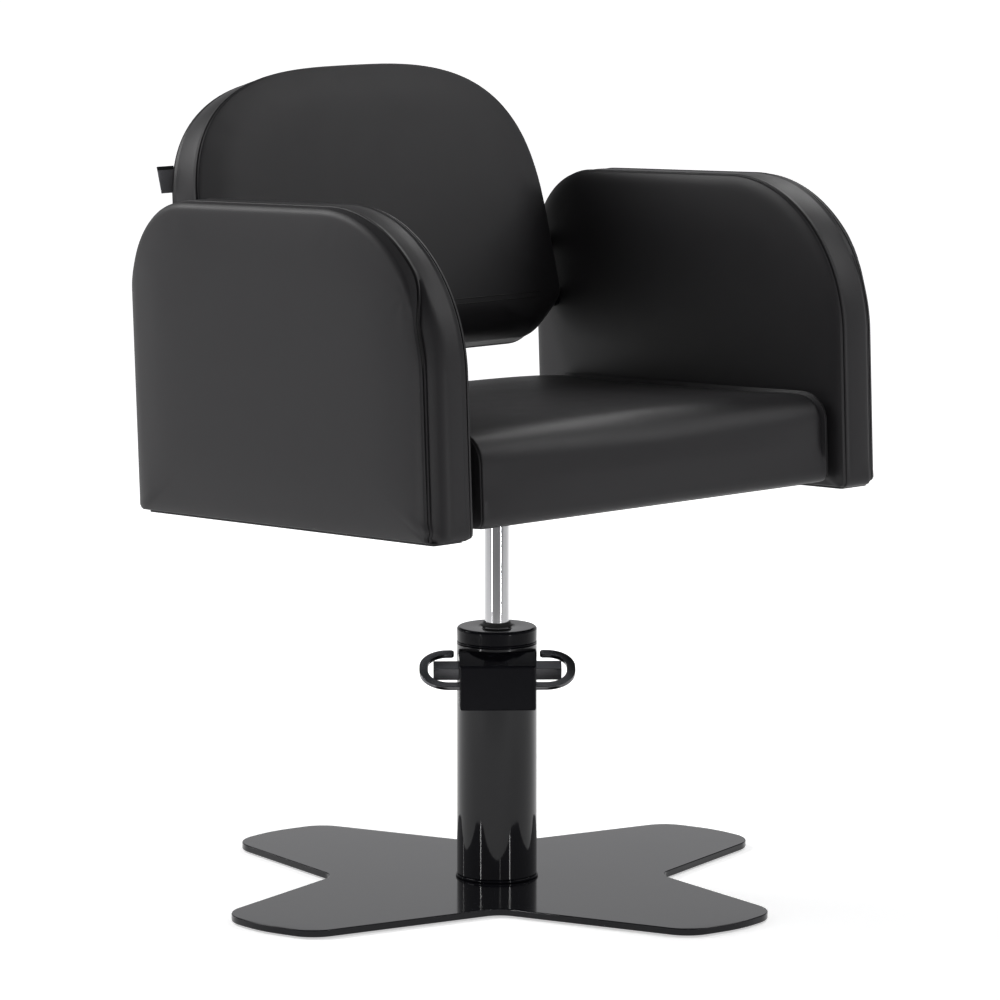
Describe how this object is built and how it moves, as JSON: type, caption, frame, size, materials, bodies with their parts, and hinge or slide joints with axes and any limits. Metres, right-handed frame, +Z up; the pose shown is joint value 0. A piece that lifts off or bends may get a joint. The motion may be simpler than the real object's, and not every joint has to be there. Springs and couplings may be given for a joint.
{
  "type": "styling chair",
  "caption": "Salon styling chair: upholstered seat, back and rounded panel arms on a hydraulic lift column with a foot pedal and a flat cross-shaped base.",
  "frame": {"origin": "centre of the pad under the column, on the floor", "axes": "+Z up along the lift axis, -Y the way the sitter faces, +X to the sitter's left"},
  "size_m": [0.708, 0.696, 0.9344],
  "materials": {
    "gloss_black": "gloss",
    "black_leather": "smooth semi-matt artificial leather (coated fabric) over foam",
    "chrome_rod": "polished",
    "zinc_steel": "zinc plated",
    "plywood": "raw",
    "black_rubber": "matt",
    "bronze_bush": "machined",
    "grey_tag": "woven"
  },
  "bodies": {
    "base": {"base_plate": "gloss_black", "glide_1": "black_rubber", "glide_2": "black_rubber", "glide_3": "black_rubber", "glide_4": "black_rubber", "centre_pad": "black_rubber", "plate_screw_1": "zinc_steel", "plate_screw_2": "zinc_steel", "plate_screw_3": "zinc_steel", "plate_screw_4": "zinc_steel", "pump_foot": "zinc_steel", "foot_ring": "gloss_black", "column_tube": "gloss_black", "pump_cylinder": "zinc_steel", "guide_bush": "bronze_bush", "pump_cap": "gloss_black", "rod_seal": "black_rubber", "front_cover": "gloss_black", "pedal_bracket": "zinc_steel", "plunger_barrel": "zinc_steel"},
    "plunger": {"plunger": "zinc_steel"},
    "pedal": {"pedal_shaft": "gloss_black", "pedal_loop": "gloss_black", "pedal_link_left": "zinc_steel", "pedal_link_right": "zinc_steel", "pump_cam": "zinc_steel"},
    "piston": {"piston_rod": "chrome_rod", "piston_head": "black_rubber"},
    "seat": {"seat_hub": "zinc_steel", "swivel_bush": "bronze_bush", "mount_plate": "zinc_steel", "mount_bolt_1": "zinc_steel", "mount_bolt_2": "zinc_steel", "mount_bolt_3": "zinc_steel", "mount_bolt_4": "zinc_steel", "cross_rail_front": "zinc_steel", "cross_rail_rear": "zinc_steel", "seat_board": "plywood", "seat_cushion": "black_leather", "arm_inner_pad_left": "black_leather", "arm_core_left": "plywood", "arm_outer_pad_left": "black_leather", "arm_inner_pad_right": "black_leather", "arm_core_right": "plywood", "arm_outer_pad_right": "black_leather", "back_front_pad": "black_leather", "back_board": "plywood", "back_rear_pad": "black_leather", "back_spacer_left_1": "gloss_black", "back_spacer_left_2": "gloss_black", "back_spacer_right_1": "gloss_black", "back_spacer_right_2": "gloss_black", "back_stud_left_1": "zinc_steel", "back_stud_left_2": "zinc_steel", "back_stud_right_1": "zinc_steel", "back_stud_right_2": "zinc_steel", "seam_tag": "grey_tag"}
  },
  "joints": [
    {"name": "lift", "type": "slide", "parent": "base", "child": "piston", "axis": [0, 0, 1], "range_m": [-0.085, 0.045]},
    {"name": "swivel", "type": "hinge", "parent": "piston", "child": "seat", "pos_m": [0, 0, 0.45], "axis": [0, 0, 1], "continuous": true},
    {"name": "pedal_pivot", "type": "hinge", "parent": "base", "child": "pedal", "pos_m": [-0.02061, -0.02448, 0.256], "axis": [0.7649, -0.6441, 0], "range_deg": [0, 14], "stiffness_Nm_per_rad": 6, "springref_deg": -11.46},
    {"name": "plunger_slide", "type": "slide", "parent": "base", "child": "plunger", "axis": [0, 0, 1], "range_m": [-0.0016, 0]}
  ],
  "couplings": [
    {"joint": "plunger_slide", "follows": "pedal_pivot", "m_per_rad": -0.0056}
  ]
}
